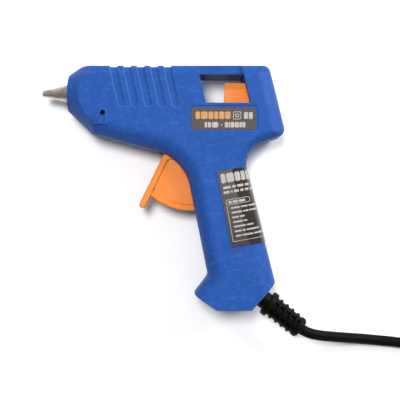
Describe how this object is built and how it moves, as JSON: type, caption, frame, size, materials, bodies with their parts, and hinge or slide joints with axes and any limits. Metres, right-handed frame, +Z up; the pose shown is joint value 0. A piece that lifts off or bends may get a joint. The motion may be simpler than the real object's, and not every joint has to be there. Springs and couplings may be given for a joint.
{
  "type": "glue gun",
  "caption": "Small hot-melt glue gun for 7 mm sticks, lying on its side: two-shell body with a see-through window, curved trigger, sliding feed carriage, cone nozzle and coiled mains cord.",
  "frame": {"origin": "centre of the bottom of the gun's own box as it lies on its right side, the cord left out", "axes": "+X from the nozzle to the rear of the gun, +Y towards the top of the gun (the handle points to -Y), +Z up, away from the surface it lies on"},
  "size_m": [0.2694, 0.1501, 0.0269],
  "materials": {
    "housing_blue": "blue moulded plastic with a fine satin texture",
    "trigger_orange": "orange moulded plastic, satin gloss",
    "nozzle_steel": "heat-darkened cast metal with a rough skin",
    "steel": "plain zinc-plated steel",
    "chamber_aluminium": "cast aluminium",
    "heater_ceramic": null,
    "silicone_red": "red-brown heat-proof silicone",
    "label_grey": "dark brown-grey foil label",
    "label_black": "glossy black foil label",
    "relief_black": "black soft plastic",
    "cord_black": "black PVC sheath",
    "pin_brass": "nickel-washed brass contact"
  },
  "bodies": {
    "root": {"left_housing": "housing_blue", "right_housing": "housing_blue", "nozzle": "nozzle_steel", "nozzle_bush": "silicone_red", "melt_chamber": "chamber_aluminium", "ptc_heater": "heater_ceramic", "heater_plate_upper": "steel", "heater_plate_lower": "steel", "feed_sleeve": "silicone_red", "sleeve_clamp": "steel", "trigger_pivot_pin": "steel", "return_spring": "steel", "cord_clamp": "steel", "cord_clamp_screw_upper": "steel", "cord_clamp_screw_lower": "steel", "housing_screw_front": "steel", "housing_screw_top": "steel", "housing_screw_rear": "steel", "housing_screw_upper": "steel", "housing_screw_lower": "steel", "side_label": "label_grey", "handle_label": "label_black", "lead_wire_upper": "cord_black", "lead_wire_lower": "cord_black", "strain_relief": "relief_black", "power_cord": "cord_black", "power_cord_coil": "cord_black", "power_cord_tail": "cord_black", "coil_tie": "relief_black", "plug_body": "relief_black", "plug_pin_left": "pin_brass", "plug_pin_right": "pin_brass"},
    "trigger": {"trigger": "trigger_orange"},
    "carriage": {"feed_carriage": "trigger_orange", "feed_pin": "steel", "jaw_pin": "steel"},
    "jaw": {"grip_jaw": "steel"}
  },
  "joints": [
    {"name": "trigger_pull", "type": "hinge", "parent": "root", "child": "trigger", "pos_m": [0.0138, 0.01802, 0.0133], "axis": [0, 0, 1], "range_deg": [0, 28], "stiffness_Nm_per_rad": 0.02, "springref_deg": -20.05},
    {"name": "carriage_feed", "type": "slide", "parent": "root", "child": "carriage", "axis": [-1, 0, 0], "range_m": [0, 0.0092], "deforming": ["return_spring"]},
    {"name": "jaw_grip", "type": "hinge", "parent": "carriage", "child": "jaw", "pos_m": [0.0481, 0.03982, 0.0133], "axis": [0, 0, -1], "range_deg": [0, 9]}
  ],
  "couplings": [
    {"joint": "carriage_feed", "follows": "trigger_pull", "m_per_rad": 0.01837},
    {"joint": "jaw_grip", "follows": "trigger_pull", "ratio": 0.3}
  ]
}
